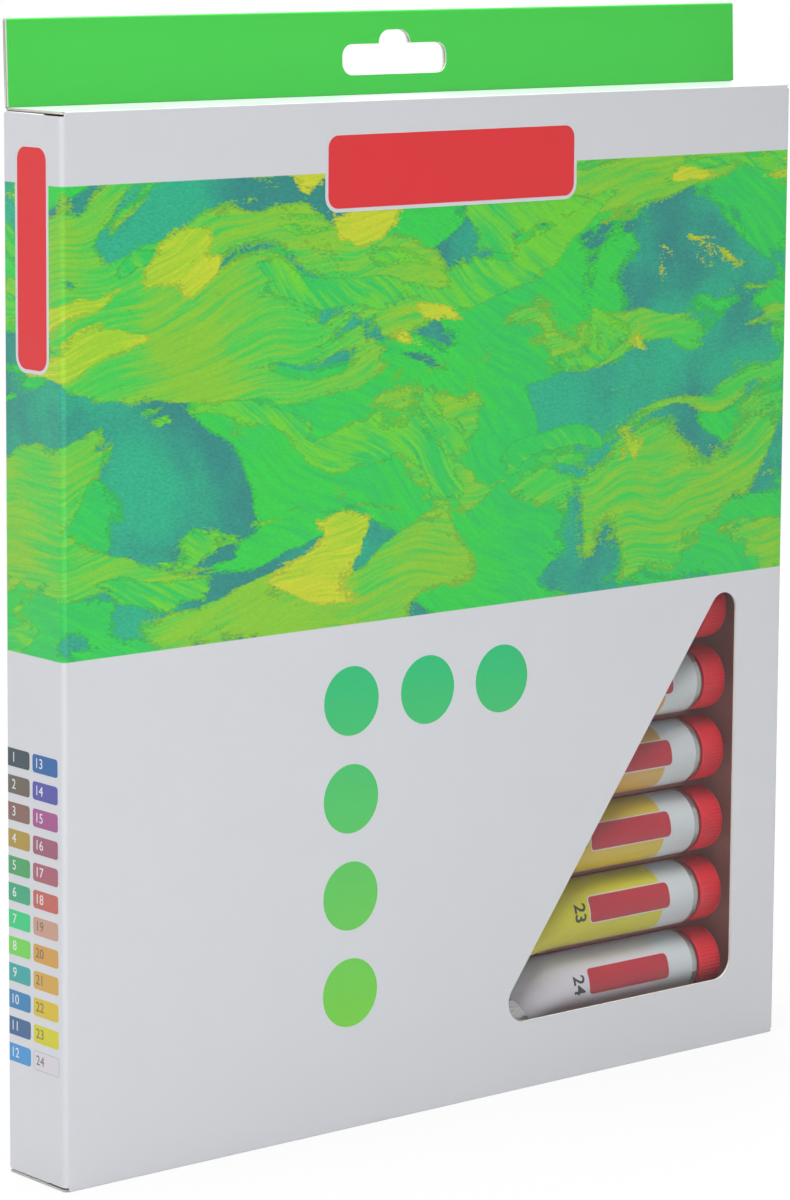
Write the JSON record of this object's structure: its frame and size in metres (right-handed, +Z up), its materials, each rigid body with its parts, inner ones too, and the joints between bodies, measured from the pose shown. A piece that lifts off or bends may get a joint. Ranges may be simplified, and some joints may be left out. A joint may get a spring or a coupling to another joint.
{
  "type": "gouache paint box",
  "caption": "Upright folding carton with a triangular clear window, a hang tab and tucked ends, holding a formed tray of capped paint tubes.",
  "frame": {"origin": "middle of the carton's base", "axes": "+Z up, the printed front faces -Y, the width runs along X"},
  "size_m": [0.23, 0.023, 0.2702],
  "materials": {
    "sleeve_board": "printed coated board",
    "lid_board": "coated board",
    "tab_board": "green printed board",
    "flap_board": "printed board",
    "base_board": "coated board",
    "clear_film": "clear film",
    "tray_sheet": "matte formed sheet",
    "tube_skin": "lacquered soft metal",
    "cap_plastic": "red moulded plastic"
  },
  "bodies": {
    "carton": {"carton_sleeve": "sleeve_board", "window_film": "clear_film"},
    "lid": {"lid_panel": "lid_board"},
    "tab": {"hang_tab": "tab_board"},
    "top_flap_left": {"top_dust_flap_left": "flap_board"},
    "top_flap_right": {"top_dust_flap_right": "flap_board"},
    "bottom": {"bottom_panel": "base_board"},
    "bottom_tuck": {"bottom_tuck_flap": "base_board"},
    "bottom_flap_left": {"bottom_dust_flap_left": "flap_board"},
    "bottom_flap_right": {"bottom_dust_flap_right": "flap_board"},
    "tray": {"tray": "tray_sheet", "tube_01": "tube_skin", "tube_02": "tube_skin", "tube_03": "tube_skin", "tube_04": "tube_skin", "tube_05": "tube_skin", "tube_06": "tube_skin", "tube_07": "tube_skin", "tube_08": "tube_skin", "tube_09": "tube_skin", "tube_10": "tube_skin", "tube_11": "tube_skin", "tube_12": "tube_skin", "tube_13": "tube_skin", "tube_14": "tube_skin", "tube_15": "tube_skin", "tube_16": "tube_skin", "tube_17": "tube_skin", "tube_18": "tube_skin", "tube_19": "tube_skin", "tube_20": "tube_skin", "tube_21": "tube_skin", "tube_22": "tube_skin", "tube_23": "tube_skin", "tube_24": "tube_skin"},
    "cap_01": {"cap_01": "cap_plastic"},
    "cap_02": {"cap_02": "cap_plastic"},
    "cap_03": {"cap_03": "cap_plastic"},
    "cap_04": {"cap_04": "cap_plastic"},
    "cap_05": {"cap_05": "cap_plastic"},
    "cap_06": {"cap_06": "cap_plastic"},
    "cap_07": {"cap_07": "cap_plastic"},
    "cap_08": {"cap_08": "cap_plastic"},
    "cap_09": {"cap_09": "cap_plastic"},
    "cap_10": {"cap_10": "cap_plastic"},
    "cap_11": {"cap_11": "cap_plastic"},
    "cap_12": {"cap_12": "cap_plastic"},
    "cap_13": {"cap_13": "cap_plastic"},
    "cap_14": {"cap_14": "cap_plastic"},
    "cap_15": {"cap_15": "cap_plastic"},
    "cap_16": {"cap_16": "cap_plastic"},
    "cap_17": {"cap_17": "cap_plastic"},
    "cap_18": {"cap_18": "cap_plastic"},
    "cap_19": {"cap_19": "cap_plastic"},
    "cap_20": {"cap_20": "cap_plastic"},
    "cap_21": {"cap_21": "cap_plastic"},
    "cap_22": {"cap_22": "cap_plastic"},
    "cap_23": {"cap_23": "cap_plastic"},
    "cap_24": {"cap_24": "cap_plastic"}
  },
  "joints": [
    {"name": "lid_hinge", "type": "hinge", "parent": "carton", "child": "lid", "pos_m": [0, -0.0112, 0.2497], "axis": [1, 0, 0], "range_deg": [0, 150]},
    {"name": "bottom_hinge", "type": "hinge", "parent": "carton", "child": "bottom", "pos_m": [0, -0.0112, 0.0003], "axis": [-1, 0, 0], "range_deg": [0, 150]},
    {"name": "bottom_tuck_fold", "type": "hinge", "parent": "bottom", "child": "bottom_tuck", "pos_m": [0, 0.01045, 0.0003], "axis": [1, 0, 0], "range_deg": [-12, 16]},
    {"name": "tray_slide", "type": "slide", "parent": "carton", "child": "tray", "axis": [0, 0, 1], "range_m": [0, 0.0015]},
    {"name": "tab_fold", "type": "hinge", "parent": "lid", "child": "tab", "pos_m": [0, 0.00965, 0.2497], "axis": [1, 0, 0], "range_deg": [-88, 0]},
    {"name": "top_flap_left_fold", "type": "hinge", "parent": "carton", "child": "top_flap_left", "pos_m": [-0.1147, 0, 0.2489], "axis": [0, -1, 0], "range_deg": [0, 90]},
    {"name": "top_flap_right_fold", "type": "hinge", "parent": "carton", "child": "top_flap_right", "pos_m": [0.1147, 0, 0.2489], "axis": [0, 1, 0], "range_deg": [0, 90]},
    {"name": "bottom_flap_left_fold", "type": "hinge", "parent": "carton", "child": "bottom_flap_left", "pos_m": [-0.1147, 0, 0.0011], "axis": [0, 1, 0], "range_deg": [0, 90]},
    {"name": "bottom_flap_right_fold", "type": "hinge", "parent": "carton", "child": "bottom_flap_right", "pos_m": [0.1147, 0, 0.0011], "axis": [0, -1, 0], "range_deg": [0, 90]},
    {"name": "cap_01_turn", "type": "hinge", "parent": "tray", "child": "cap_01", "pos_m": [-0.0959, 0.0008, 0.2274], "axis": [-1, 0, 0], "range_deg": [0, 540]},
    {"name": "cap_02_turn", "type": "hinge", "parent": "tray", "child": "cap_02", "pos_m": [-0.0959, 0.0008, 0.2086], "axis": [-1, 0, 0], "range_deg": [0, 540]},
    {"name": "cap_03_turn", "type": "hinge", "parent": "tray", "child": "cap_03", "pos_m": [-0.0959, 0.0008, 0.1898], "axis": [-1, 0, 0], "range_deg": [0, 540]},
    {"name": "cap_04_turn", "type": "hinge", "parent": "tray", "child": "cap_04", "pos_m": [-0.0959, 0.0008, 0.171], "axis": [-1, 0, 0], "range_deg": [0, 540]},
    {"name": "cap_05_turn", "type": "hinge", "parent": "tray", "child": "cap_05", "pos_m": [-0.0959, 0.0008, 0.1522], "axis": [-1, 0, 0], "range_deg": [0, 540]},
    {"name": "cap_06_turn", "type": "hinge", "parent": "tray", "child": "cap_06", "pos_m": [-0.0959, 0.0008, 0.1334], "axis": [-1, 0, 0], "range_deg": [0, 540]},
    {"name": "cap_07_turn", "type": "hinge", "parent": "tray", "child": "cap_07", "pos_m": [-0.0959, 0.0008, 0.1146], "axis": [-1, 0, 0], "range_deg": [0, 540]},
    {"name": "cap_08_turn", "type": "hinge", "parent": "tray", "child": "cap_08", "pos_m": [-0.0959, 0.0008, 0.0958], "axis": [-1, 0, 0], "range_deg": [0, 540]},
    {"name": "cap_09_turn", "type": "hinge", "parent": "tray", "child": "cap_09", "pos_m": [-0.0959, 0.0008, 0.077], "axis": [-1, 0, 0], "range_deg": [0, 540]},
    {"name": "cap_10_turn", "type": "hinge", "parent": "tray", "child": "cap_10", "pos_m": [-0.0959, 0.0008, 0.0582], "axis": [-1, 0, 0], "range_deg": [0, 540]},
    {"name": "cap_11_turn", "type": "hinge", "parent": "tray", "child": "cap_11", "pos_m": [-0.0959, 0.0008, 0.0394], "axis": [-1, 0, 0], "range_deg": [0, 540]},
    {"name": "cap_12_turn", "type": "hinge", "parent": "tray", "child": "cap_12", "pos_m": [-0.0959, 0.0008, 0.0206], "axis": [-1, 0, 0], "range_deg": [0, 540]},
    {"name": "cap_13_turn", "type": "hinge", "parent": "tray", "child": "cap_13", "pos_m": [0.0959, 0.0008, 0.2274], "axis": [1, 0, 0], "range_deg": [0, 540]},
    {"name": "cap_14_turn", "type": "hinge", "parent": "tray", "child": "cap_14", "pos_m": [0.0959, 0.0008, 0.2086], "axis": [1, 0, 0], "range_deg": [0, 540]},
    {"name": "cap_15_turn", "type": "hinge", "parent": "tray", "child": "cap_15", "pos_m": [0.0959, 0.0008, 0.1898], "axis": [1, 0, 0], "range_deg": [0, 540]},
    {"name": "cap_16_turn", "type": "hinge", "parent": "tray", "child": "cap_16", "pos_m": [0.0959, 0.0008, 0.171], "axis": [1, 0, 0], "range_deg": [0, 540]},
    {"name": "cap_17_turn", "type": "hinge", "parent": "tray", "child": "cap_17", "pos_m": [0.0959, 0.0008, 0.1522], "axis": [1, 0, 0], "range_deg": [0, 540]},
    {"name": "cap_18_turn", "type": "hinge", "parent": "tray", "child": "cap_18", "pos_m": [0.0959, 0.0008, 0.1334], "axis": [1, 0, 0], "range_deg": [0, 540]},
    {"name": "cap_19_turn", "type": "hinge", "parent": "tray", "child": "cap_19", "pos_m": [0.0959, 0.0008, 0.1146], "axis": [1, 0, 0], "range_deg": [0, 540]},
    {"name": "cap_20_turn", "type": "hinge", "parent": "tray", "child": "cap_20", "pos_m": [0.0959, 0.0008, 0.0958], "axis": [1, 0, 0], "range_deg": [0, 540]},
    {"name": "cap_21_turn", "type": "hinge", "parent": "tray", "child": "cap_21", "pos_m": [0.0959, 0.0008, 0.077], "axis": [1, 0, 0], "range_deg": [0, 540]},
    {"name": "cap_22_turn", "type": "hinge", "parent": "tray", "child": "cap_22", "pos_m": [0.0959, 0.0008, 0.0582], "axis": [1, 0, 0], "range_deg": [0, 540]},
    {"name": "cap_23_turn", "type": "hinge", "parent": "tray", "child": "cap_23", "pos_m": [0.0959, 0.0008, 0.0394], "axis": [1, 0, 0], "range_deg": [0, 540]},
    {"name": "cap_24_turn", "type": "hinge", "parent": "tray", "child": "cap_24", "pos_m": [0.0959, 0.0008, 0.0206], "axis": [1, 0, 0], "range_deg": [0, 540]}
  ],
  "couplings": [
    {"joint": "tab_fold", "follows": "lid_hinge", "ratio": -0.5866},
    {"joint": "top_flap_left_fold", "follows": "lid_hinge", "ratio": 0.6},
    {"joint": "top_flap_right_fold", "follows": "lid_hinge", "ratio": 0.6},
    {"joint": "bottom_flap_left_fold", "follows": "bottom_hinge", "ratio": 0.6},
    {"joint": "bottom_flap_right_fold", "follows": "bottom_hinge", "ratio": 0.6}
  ]
}
